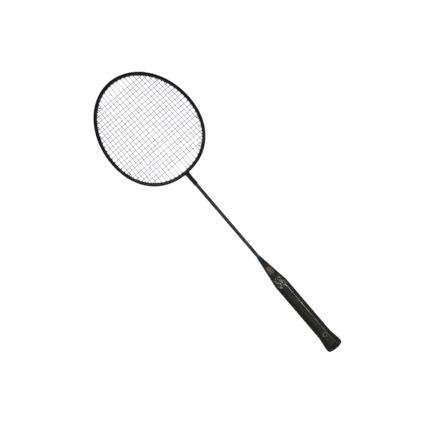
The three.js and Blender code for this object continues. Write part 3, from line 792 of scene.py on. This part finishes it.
def make_throat_joint(racket):
    """One casting: crosspiece, flared neck and sleeve melt into each other, then it is bored and grooved."""
    head, line, grommets = racket.head, racket.line, racket.grommets
    span = head.joint_half_span
    over = 2 * MM
    throat = line.place(0, head.frame_width / 2).x
    top = FRAME_HIGH.z
    half = head.frame_width / 2
    blank = box_outline(-half, half, -top, top, head.edge_radius, 6)
    joint = skin("throat_joint", [line.rings(blank, -span - over, span + over, 1 * MM)])
    carve(joint, make_neck(racket, throat), "UNION")
    modified(joint, "REMESH", mode="VOXEL", voxel_size=0.3 * MM)
    modified(joint, "SMOOTH", factor=0.5, iterations=5)
    keep = line.rings(box_outline(-60 * MM, 60 * MM, -40 * MM, 40 * MM, 1 * MM), -span, span, 2 * span)
    carve(joint, [keep], "INTERSECT")
    spigot = hollow_outline(head, grommets.clearance)
    reach = span + 9 * MM
    carve(joint, [line.rings(spigot, -reach, reach, 1 * MM)], "UNION")
    lip = head.groove_width / 2
    channel = box_outline(racket.groove_floor, half + over, -lip, lip, 0.3 * MM)
    for side in (-1, 1):
        ends = sorted((side * (racket.sleeve + 0.2 * MM), side * (span + over)))
        carve(joint, [line.rings(channel, *ends, 1 * MM)])
    bore = SHAFT_HIGH.y + 0.12 * MM
    bottom = JOINT_LOW.x
    hole = turned_rings([(bottom - over, bore), (SHAFT_HIGH.x + 0.1 * MM, bore)], 48)
    carve(joint, [hole])
    near = [hole for hole in racket.holes.left if hole["distance"] < reach + over]
    drill = [(-half - over, racket.hole_radius), (racket.groove_floor + over / 4, racket.hole_radius)]
    return carve(joint, [line.peg(hole, drill, 20) for hole in near + mirrored(near)])


def make_neck(racket, throat):
    """The sleeve with a rounded lower lip, flaring out where it meets the crosspiece."""
    flare = racket.head.neck_flare
    lip = 0.3 * MM
    profile = []
    for angle in spread(0, math.pi / 2, 3):
        station = JOINT_LOW.x + lip - lip * math.cos(angle)
        profile.append((station, racket.sleeve - lip + lip * math.sin(angle)))
    for angle in spread(0, math.pi / 2, 10):
        station = throat - flare * (1 - math.sin(angle))
        profile.append((station, racket.sleeve + flare * (1 - math.cos(angle))))
    profile.append((throat + racket.head.frame_width * 0.45, racket.sleeve + flare))
    neck = skin("neck", [turned_rings(profile, 64)])
    depth = FRAME_HIGH.z - 0.6 * MM
    slab = box_outline(-40 * MM, 40 * MM, -depth, depth, 2 * MM)
    rings = [[Vector((x, y, z)) for y, z in slab] for x in (JOINT_LOW.x - 5 * MM, throat + 20 * MM)]
    return carve(neck, [rings], "INTERSECT")


def make_shaft(racket):
    """A straight tube with both ends deburred."""
    low, high = SHAFT_LOW.x, SHAFT_HIGH.x
    outer, inner = SHAFT_HIGH.y, SHAFT_HIGH.y - racket.handle.shaft_wall
    burr = 0.15 * MM
    stations = spread(low + burr, high - burr, 24)
    profile = [(low, inner + burr), (low, outer - burr)]
    profile += [(x, outer) for x in stations]
    profile += [(high, outer - burr), (high, inner + burr)]
    profile += [(x, inner) for x in reversed(stations)]
    return skin("shaft_tube", [turned_rings(profile, 48)], closed=True)


def make_cone(racket):
    """Round and thin-lipped at the shaft, eight-sided at the handle."""
    handle = racket.handle
    base, tip = CONE_LOW.x, CONE_HIGH.x
    tip_across = 2 * (SHAFT_HIGH.y + 0.75 * MM)  # leaves a thin lip round the shaft
    base_across = 2 * COLLAR_HIGH.y
    lip = 0.35 * MM
    rings = [octagon_ring(base, base_across - 2 * lip, handle.corner_radius)]
    for station in spread(base + lip, tip - lip, 26):
        share = (tip - station) / (tip - base)
        across = tip_across + (base_across - tip_across) * share**handle.cone_fullness
        roundness = min(0.97, max(handle.corner_radius / (across / 2), 1 - 1.5 * share))
        rings.append(octagon_ring(station, across, roundness * across / 2))
    rings.append(octagon_ring(tip, tip_across - 1.2 * lip, 0.97 * (tip_across / 2 - lip)))
    cone = skin("cone_cap", [rings])
    bore = SHAFT_HIGH.y + 0.1 * MM
    cavity = [(base - 1 * MM, base_across / 2 - handle.cone_wall)]
    cavity += [(base, base_across / 2 - handle.cone_wall), (tip - 12 * MM, bore), (tip + 1 * MM, bore)]
    return carve(cone, [turned_rings(cavity, 48)])


def flare_across(handle, station):
    """The grip's width across its flats at a station, opening towards the butt."""
    share = max(0, (handle.flare_length - station) / (handle.flare_length - CAP_HIGH.x))
    return handle.grip_across + (2 * CAP_HIGH.y - handle.grip_across) * share**handle.flare_bend


def make_grip(racket):
    """One moulded sleeve: eight soft-cornered sides, a flared end and a ring moulded in the upper flat."""
    handle = racket.handle
    low, high = GRIP_LOW.x, COLLAR_LOW.x - 0.15 * MM
    stations = spread(low, high, 60)
    soft = 0.5 * MM
    outside = [octagon_ring(low, flare_across(handle, low) - soft, handle.corner_radius)]
    outside += [octagon_ring(x, flare_across(handle, x), handle.corner_radius) for x in stations[1:-1]]
    outside.append(octagon_ring(high, handle.grip_across - soft, handle.corner_radius))
    skinny = 2 * handle.grip_thickness
    inside = [
        octagon_ring(x, flare_across(handle, x) - skinny, handle.corner_radius - 1 * MM)
        for x in reversed(stations)
    ]
    grip = skin("grip_skin", [outside + inside], closed=True)
    for face in (1, -1):
        carve(grip, make_mark(handle, face), "UNION")
    return grip


def make_mark(handle, face):
    """A plain ring standing a little proud of the upper or lower flat of the grip."""
    height = flare_across(handle, handle.mark_station) / 2
    slope = flare_across(handle, handle.mark_station + 1 * MM) / 2 - height
    centre = Vector((handle.mark_station, 0, face * (height + 0.02 * MM)))
    rings = []
    sides = 40
    for i in range(sides):
        angle = 2 * math.pi * i / sides
        outward = Vector((math.cos(angle), face * math.sin(angle), face * math.cos(angle) * slope / MM))
        middle = centre + outward * handle.mark_radius
        rings.append(circle(middle, outward.normalized(), UP, 0.34 * MM, 8))
    return skin("mark", [rings], closed=True)


def make_collar(racket):
    """The finishing tape, a shade prouder than the grip and with rounded edges."""
    low, high = COLLAR_LOW.x, COLLAR_HIGH.x
    across = racket.handle.grip_across + 0.3 * MM
    inner = across - 1.9 * MM
    radius, soft = racket.handle.corner_radius, 0.25 * MM
    inner_radius = radius - 0.9 * MM
    section = (
        (low, inner, inner_radius),
        (low, across - 2 * soft, radius),
        (low + soft, across, radius),
        (high - soft, across, radius),
        (high, across - 2 * soft, radius),
        (high, inner, inner_radius),
    )
    return skin("collar_band", [[octagon_ring(*ring) for ring in section]], closed=True)


def make_cap(racket):
    """The moulded end: a quarter-round edge, a flat face and a step into the grip."""
    handle = racket.handle
    full = 2 * CAP_HIGH.y
    end_corner, soft = 6 * MM, 0.3 * MM
    rings = [octagon_ring(0, handle.cap_end - 1.6 * MM, end_corner)]
    for angle in spread(0, math.pi / 2, 14):
        station = handle.cap_round * (1 - math.cos(angle)) + 0.05 * MM
        across = handle.cap_end + (full - handle.cap_end) * math.sin(angle)
        corner = end_corner + (handle.corner_radius - end_corner) * math.sin(angle)
        rings.append(octagon_ring(station, across, corner))
    end = CAP_HIGH.x
    for station, across in ((end - soft, full), (end, full - 2 * soft)):
        rings.append(octagon_ring(station, across, handle.corner_radius))
    cap = skin("butt_cap_moulding", [rings])
    wall = 3 * MM
    inner = full - 3 * wall
    hollow = [octagon_ring(x, inner, 2 * MM) for x in (wall, end + 1 * MM)]
    return carve(cap, [hollow])


def make_cushion(racket):
    """Foam tape wound round the core: its edges sink in along one long spiral."""
    low, high = CUSHION_LOW.x, CUSHION_HIGH.x
    outer, inner = 2 * CUSHION_HIGH.y, 2 * CUSHION_HIGH.y - 1.6 * MM
    seam, sink = 0.06, 0.3 * MM
    outside = []
    for station in spread(low, high, round((high - low) / MM)):
        ring = []
        for point in octagon_ring(station, outer, 3 * MM, 6):
            turn = math.atan2(point.z, point.y) / (2 * math.pi)
            phase = (station / racket.handle.wrap_pitch - turn) % 1
            depth = sink * max(0, 1 - min(phase, 1 - phase) / seam)
            inwards = 1 - depth / (outer / 2)
            ring.append(Vector((station, point.y * inwards, point.z * inwards)))
        outside.append(ring)
    inside = [octagon_ring(x, inner, 2.4 * MM, 6) for x in (high, low)]
    return skin("cushion_wrap", [outside + inside], closed=True)


def make_strip(racket, name, own, start, end):
    """A moulded strip for the groove, with a tapered, flared barrel for each of its holes."""
    line, grommets = racket.line, racket.grommets
    low, high = racket.strip_low, racket.strip_high
    half = racket.head.groove_width / 2 - 0.3 * MM
    band = line.rings(box_outline(low, high, -half, half, 0.2 * MM), start, end, 2 * MM)
    strip = skin(name, [band])
    root, mouth = grommets.radius, racket.mouth
    barrel = [
        (mouth, root - 0.35 * MM),
        (mouth + 0.15 * MM, root - 0.18 * MM),
        (mouth + 0.6 * MM, root - 0.12 * MM),
        (-racket.head.frame_width / 2, root),
        ((low + high) / 2, root),
    ]
    carve(strip, [line.peg(hole, barrel, 20) for hole in own], "UNION")
    bore, over = grommets.bore, 0.5 * MM
    drill = [(mouth - over, bore + 0.3 * MM), (mouth, bore + 0.16 * MM), (mouth + 0.35 * MM, bore)]
    drill += [(high - 0.25 * MM, bore), (high, bore + 0.15 * MM), (high + over, bore + 0.3 * MM)]
    return carve(strip, [line.peg(hole, drill, 16) for hole in own])


def strip_runs(racket):
    """Each strip's holes and its two ends along the left half of the frame."""
    holes = racket.holes.left
    count = racket.grommets.strips_per_side
    gap = racket.grommets.clearance / 2
    firsts = [round(i * len(holes) / count) for i in range(count + 1)]
    seams = [(holes[i - 1]["distance"] + holes[i]["distance"]) / 2 for i in firsts[1:-1]]
    seams = [racket.sleeve + 2 * gap, *seams, racket.holes.half]
    return [
        (holes[firsts[i] : firsts[i + 1]], seams[i] + gap, seams[i + 1] - gap)
        for i in range(count)
    ]


# ---- Strings ----


def main_route(racket):
    """From the left tie-off, back and forth to the middle, over the tip and out to the right tie-off."""
    named, count = racket.holes.named, racket.strings.mains_per_side

    def half(side):
        route = [named(side, "main_tie")]
        for number in range(count, 0, -1):
            ends = ["throat", "tip"] if (count - number) % 2 == 0 else ["tip", "throat"]
            route += [named(side, "%s%d" % (end, number)) for end in ends]
        return route

    return half(racket.holes.left) + half(racket.holes.right)[::-1]


def cross_route(racket):
    """From the tie-off beside the top cross, side to side down to the lowest."""
    holes, count = racket.holes, racket.strings.cross_count
    route = [holes.named(holes.left, "top_tie")]
    for number in range(1, count + 1):
        ends = [holes.named(side, "cross%d" % number) for side in (holes.left, holes.right)]
        route += ends if number % 2 else ends[::-1]
    last_side = holes.right if count % 2 else holes.left
    return route + [holes.named(last_side, "low_tie")]


def runs(racket, route):
    """The straight runs across the head, each from one barrel's mouth to another."""
    spots = [racket.line.on(hole, racket.mouth - 0.2 * MM) for hole in route]
    return list(zip(spots[1::2], spots[2::2]))


def crossing(first, second):
    """How far along the first run the second one crosses it, or None."""
    start, along = first[0].xy, (first[1] - first[0]).xy
    other, across = second[0].xy, (second[1] - second[0]).xy
    turn = along.cross(across)
    if abs(turn) < 1e-12:
        return None
    share = (other - start).cross(across) / turn
    beside = (other - start).cross(along) / turn
    return share if 0 < share < 1 and 0 < beside < 1 else None


def woven(run, others, over_first, lift):
    """A run's points as it goes over one and under the next of the runs that it meets."""
    met = []
    for index, other in enumerate(others):
        share = crossing(run, other)
        if share is not None:
            met.append((share, lift if (index + over_first) % 2 == 0 else -lift))
    stops = [(0.0, run[0].z), *sorted(met), (1.0, run[1].z)]
    points = []
    steps = 6
    for (here, low), (there, high) in zip(stops, stops[1:]):
        for i in range(steps):
            share = i / steps
            point = run[0].lerp(run[1], here + (there - here) * share)
            point.z = low + (high - low) * (1 - math.cos(math.pi * share)) / 2
            points.append(point)
    return points + [run[1].copy()]


def through(racket, hole):
    """From a barrel's mouth to the strip's outer side."""
    return [racket.line.on(hole, outwards) for outwards in (racket.mouth + 0.3 * MM, racket.string_seat)]


def in_groove(racket, first, second):
    """Between two holes, lying on the strip."""
    start, end = first["distance"], second["distance"]
    if abs(end - start) > racket.line.length / 2:
        end += math.copysign(racket.line.length, start - end)
    steps = max(2, math.ceil(abs(end - start) / (2 * MM)))
    stops = spread(start, end, steps)[1:-1]
    return [racket.line.place(stop, racket.string_seat, first["height"]) for stop in stops]


def knot(racket, hole):
    """The tied end: the string winds back round itself twice and a short tail sticks out."""
    mouth = racket.line.on(hole, racket.mouth)
    inward = -racket.line.out(hole["distance"])
    side = racket.line.along(hole["distance"])
    thickness = racket.strings.diameter
    far, pitch, coil, tail_length = 3.3 * MM, 0.9 * thickness, 1.06 * thickness, 1.8 * MM
    points = []
    turns, steps = 2.5, 36
    for i in range(steps + 1):
        share = i / steps
        angle = 2 * math.pi * turns * share
        round_it = side * math.cos(angle) + UP * math.sin(angle)
        points.append(mouth + inward * (far - pitch * turns * share) + round_it * coil * min(1, share * 5))
    tail = points[-1] + (inward * 0.6 - side).normalized() * tail_length
    return [tail, *points[::-1]]


def eased(path, reach):
    """Turns each sharp corner of a path into a short bend."""
    points = [path[0]]
    for before, corner, after in zip(path, path[1:], path[2:]):
        arriving, leaving = corner - before, after - corner
        if min(arriving.length, leaving.length) < 1e-7 or arriving.angle(leaving) < math.radians(12):
            points.append(corner)
            continue
        setback = min(reach, 0.45 * arriving.length, 0.45 * leaving.length)
        start, end = corner - arriving.normalized() * setback, corner + leaving.normalized() * setback
        for i in range(5):
            share = i / 4
            points.append(start.lerp(corner, share).lerp(corner.lerp(end, share), share))
    return points + [path[-1]]


def make_string(racket, name, route, others, over_first):
    """One string from tie-off to tie-off: knotted, laced through the holes and woven through the others."""
    lift = (racket.strings.diameter + 0.02 * MM) / 2
    own = runs(racket, route)
    path = knot(racket, route[0])
    for i in range(0, len(route), 2):
        first, second = route[i], route[i + 1]
        path += through(racket, first) + in_groove(racket, first, second) + through(racket, second)[::-1]
        if i // 2 < len(own):
            path += woven(own[i // 2], others, over_first(i // 2), lift)
    path += knot(racket, route[-1])[::-1]
    path = eased(path, 0.6 * MM)
    sides = 10
    string = skin(name, [tube_rings(path, racket.strings.diameter / 2, sides)])
    wind(string.data, path, sides, 1.4 * MM)
    return string


def wind(mesh, path, sides, pitch):
    """A map of turns along the string against the share of the way round it."""
    travelled = [0.0]
    for before, after in zip(path, path[1:]):
        travelled.append(travelled[-1] + (after - before).length / pitch)
    layer = mesh.uv_layers.new(name="wind")
    corners = ((0, 0), (0, 1), (1, 1), (1, 0))
    for face in mesh.polygons:
        i, j = divmod(face.index, sides)
        if face.loop_total == 4 and i + 1 < len(path):
            for loop, (ahead, beside) in zip(face.loop_indices, corners):
                layer.data[loop].uv = (travelled[i + ahead], (j + beside) / sides)


# ---- Operators ----


class RACKET_OT_head_hoop(bpy.types.Operator):
    """Build the oval frame tube"""

    bl_idname = "racket.head_hoop"
    bl_label = "Head Hoop"

    def execute(self, context):
        racket = Racket(context.scene)
        place(make_hoop(racket), stoving_enamel(racket.finish), "frame_paint", "head_frame")
        return {"FINISHED"}


class RACKET_OT_throat_joint(bpy.types.Operator):
    """Build the T-joint that closes the frame and holds the shaft"""

    bl_idname = "racket.throat_joint"
    bl_label = "Throat Joint"

    def execute(self, context):
        racket = Racket(context.scene)
        material = bpy.data.materials.get("stoving_enamel_sprayed") or stoving_enamel(racket.finish)
        place(make_throat_joint(racket), material, "frame_paint", "t_joint", weighted=False)
        return {"FINISHED"}


class RACKET_OT_shaft(bpy.types.Operator):
    """Build the shaft tube"""

    bl_idname = "racket.shaft"
    bl_label = "Shaft"

    def execute(self, context):
        racket = Racket(context.scene)
        place(make_shaft(racket), lacquered_steel(racket.finish), "shaft_finish", "shaft")
        return {"FINISHED"}


class RACKET_OT_cone(bpy.types.Operator):
    """Build the cone between the shaft and the handle"""

    bl_idname = "racket.cone"
    bl_label = "Cone"

    def execute(self, context):
        racket = Racket(context.scene)
        place(make_cone(racket), moulded_abs(racket.finish), "cone_plastic", "cone")
        return {"FINISHED"}


class RACKET_OT_grip(bpy.types.Operator):
    """Build the grip's skin and its finishing tape"""

    bl_idname = "racket.grip"
    bl_label = "Grip"

    def execute(self, context):
        racket = Racket(context.scene)
        place(make_grip(racket), pebbled_polyurethane(racket.finish, racket.handle), "grip", "grip_sleeve")
        place(make_collar(racket), finishing_tape(racket.finish), "collar", "grip_collar")
        return {"FINISHED"}


class RACKET_OT_handle_core(bpy.types.Operator):
    """Finish the wooden core and wind the cushion tape round it"""

    bl_idname = "racket.handle_core"
    bl_label = "Handle Core"

    def execute(self, context):
        racket = Racket(context.scene)
        cushion = place(make_cushion(racket), polyether_foam(racket.finish), "cushion_foam", "grip_cushion")
        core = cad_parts["handle_core"]
        core.data.materials.clear()
        core.data.materials.append(planed_beech(racket.finish))
        return {"FINISHED"}


class RACKET_OT_butt_cap(bpy.types.Operator):
    """Build the moulded butt cap"""

    bl_idname = "racket.butt_cap"
    bl_label = "Butt Cap"

    def execute(self, context):
        racket = Racket(context.scene)
        place(make_cap(racket), moulded_rubber(racket.finish), "cap", "butt_cap")
        return {"FINISHED"}


class RACKET_OT_grommets(bpy.types.Operator):
    """Build the grommet strips of both sides"""

    bl_idname = "racket.grommets"
    bl_label = "Grommet Strips"

    def execute(self, context):
        racket = Racket(context.scene)
        material = moulded_nylon(racket.finish)
        round_trip = racket.line.length
        for number, (own, start, end) in enumerate(strip_runs(racket), 1):
            other = mirrored(own, round_trip)
            sides = (("left", own, start, end), ("right", other, round_trip - end, round_trip - start))
            for side, holes, low, high in sides:
                strip = make_strip(racket, "grommets_%s_%d" % (side, number), holes, low, high)
                place(strip, material, "grommet", "grommet_strip_%s_%d" % (side, number), weighted=False)
        return {"FINISHED"}


class RACKET_OT_strings(bpy.types.Operator):
    """String the head with woven mains and crosses"""

    bl_idname = "racket.strings"
    bl_label = "Strings"

    def execute(self, context):
        racket = Racket(context.scene)
        material = multifilament_nylon(racket.finish)
        mains, crosses = main_route(racket), cross_route(racket)
        main_runs = sorted(runs(racket, mains), key=lambda run: run[0].y + run[1].y)
        cross_runs = sorted(runs(racket, crosses), key=lambda run: run[0].x + run[1].x)
        plans = (
            ("main_string_woven", mains, main_runs, cross_runs, "main_string", 0),
            ("cross_string_woven", crosses, cross_runs, main_runs, "cross_string", 1),
        )
        for name, route, own, others, node, shift in plans:
            order = runs(racket, route)
            rank = [own.index(run) for run in order]
            string = make_string(racket, name, route, others, lambda i: rank[i] + shift)
            place(string, material, "string", node, weighted=False)
        return {"FINISHED"}


class RACKET_OT_stage(bpy.types.Operator):
    """Lay the floor and set the lights and the camera"""

    bl_idname = "racket.stage"
    bl_label = "Stage"

    def execute(self, context):
        stage = context.scene.racket_stage
        make_floor(stage)
        make_surroundings(context.scene, stage)
        make_lights(stage)
        make_camera(context.scene, stage)
        return {"FINISHED"}


def make_floor(stage):
    """A floor that touches the butt and the head, so it leans a little towards the tip."""
    gap = 0.1 * MM
    butt = Vector((CAP_HIGH.x, 0, CAP_LOW.z - gap))
    head = Vector((FRAME_HIGH.x, 0, FRAME_LOW.z - gap))
    along = (head - butt).normalized()
    centre = (butt + head) / 2
    reach = 10.0
    corners = []
    for x, y in ((-1, -1), (1, -1), (1, 1), (-1, 1)):
        corners.append(centre + reach * (along * x + Vector((0, y, 0))))
    mesh = bpy.data.meshes.new("floor")
    mesh.from_pydata(corners, [], [(0, 1, 2, 3)])
    mesh.materials.append(opal_acrylic(stage))
    floor = bpy.data.objects.new("floor", mesh)
    bpy.context.scene.collection.objects.link(floor)


def make_surroundings(scene, stage):
    """A broad soft light overhead, leaning to the racket's left, that fades towards the horizon."""
    world = bpy.data.worlds.new("studio")
    world.use_nodes = True
    tree = world.node_tree
    lean = math.radians(18)
    way = add_node(tree, PLACE).outputs["Generated"]
    centre = (0, math.sin(lean), math.cos(lean))
    nearness = add_node(tree, "ShaderNodeVectorMath", [way, centre], operation="DOT_PRODUCT")
    far, near = math.cos(math.radians(70)), math.cos(math.radians(20))
    glow = add_node(tree, RANGE, [nearness, far, near, 0.7 * stage.fill, stage.fill])
    fill(tree, tree.nodes["Background"], {"Color": (1, 1, 1, 1), "Strength": glow})
    scene.world = world
    scene.view_settings.view_transform = "Standard"


def make_lights(stage):
    """A beam on the handle from its right, a weaker one on the shaft from its left, a glint at the throat."""
    # Name, place, aim, size along and across, power in watts, spread in degrees.
    plans = (
        ("handle_light", Vector((-0.05, -0.75, 1.1)), Vector((0.16, 0, 0)), (0.3, 0.2), stage.handle, 50),
        ("shaft_light", Vector((0.36, 0.95, 0.85)), Vector((0.33, 0, 0)), (0.5, 0.4), stage.shaft, 120),
        ("throat_light", Vector((0.55, 0.08, 1.35)), Vector((0.46, 0.03, 0)), (0.14, 0.22), stage.throat, 90),
    )
    for name, spot, aim, (long, wide), power, spread in plans:
        data = bpy.data.lights.new(name, "AREA")
        data.shape = "RECTANGLE"
        data.size, data.size_y = long, wide
        data.energy = power
        data.spread = math.radians(spread)
        light = bpy.data.objects.new(name, data)
        light.location = spot
        light.rotation_euler = facing(spot, aim)
        bpy.context.scene.collection.objects.link(light)


def facing(spot, aim):
    """The turn that points an object's -Z at a place with its X kept level and along the racket."""
    back = (spot - aim).normalized()
    along = (Vector((1, 0, 0)) - back * back.x).normalized()
    return Matrix((along, back.cross(along), back)).transposed().to_euler()


def make_camera(scene, stage):
    data = bpy.data.cameras.new("camera")
    data.lens = stage.lens
    camera = bpy.data.objects.new("camera", data)
    camera.location = (stage.aim_x, stage.aim_y, stage.distance)
    camera.rotation_euler = (0, 0, stage.turn)
    scene.collection.objects.link(camera)
    scene.camera = camera


GROUPS = {
    "racket_head": HeadSettings,
    "racket_strings": StringSettings,
    "racket_grommets": GrommetSettings,
    "racket_handle": HandleSettings,
    "racket_finish": FinishSettings,
    "racket_stage": StageSettings,
}

OPERATORS = (
    RACKET_OT_stage,
    RACKET_OT_head_hoop,
    RACKET_OT_throat_joint,
    RACKET_OT_shaft,
    RACKET_OT_cone,
    RACKET_OT_handle_core,
    RACKET_OT_grip,
    RACKET_OT_butt_cap,
    RACKET_OT_grommets,
    RACKET_OT_strings,
)


class RACKET_PT_builder(bpy.types.Panel):
    """Buttons for each piece and the sizes and colours that they use"""

    bl_idname = "RACKET_PT_builder"
    bl_label = "Racket"
    bl_space_type = "VIEW_3D"
    bl_region_type = "UI"
    bl_category = "Racket"

    def draw(self, context):
        for operator in OPERATORS:
            self.layout.operator(operator.bl_idname)
        for name, group in GROUPS.items():
            box = self.layout.box()
            for setting in group.__annotations__:
                box.prop(getattr(context.scene, name), setting)


def register():
    for kind in (*GROUPS.values(), *OPERATORS, RACKET_PT_builder):
        bpy.utils.register_class(kind)
    for name, group in GROUPS.items():
        setattr(bpy.types.Scene, name, PointerProperty(type=group))


def unregister():
    for name in GROUPS:
        delattr(bpy.types.Scene, name)
    for kind in (RACKET_PT_builder, *reversed(OPERATORS), *reversed(GROUPS.values())):
        bpy.utils.unregister_class(kind)


def main():
    register()
    for operator in OPERATORS:
        group, name = operator.bl_idname.split(".")
        getattr(getattr(bpy.ops, group), name)()


if __name__ == "__main__":
    main()
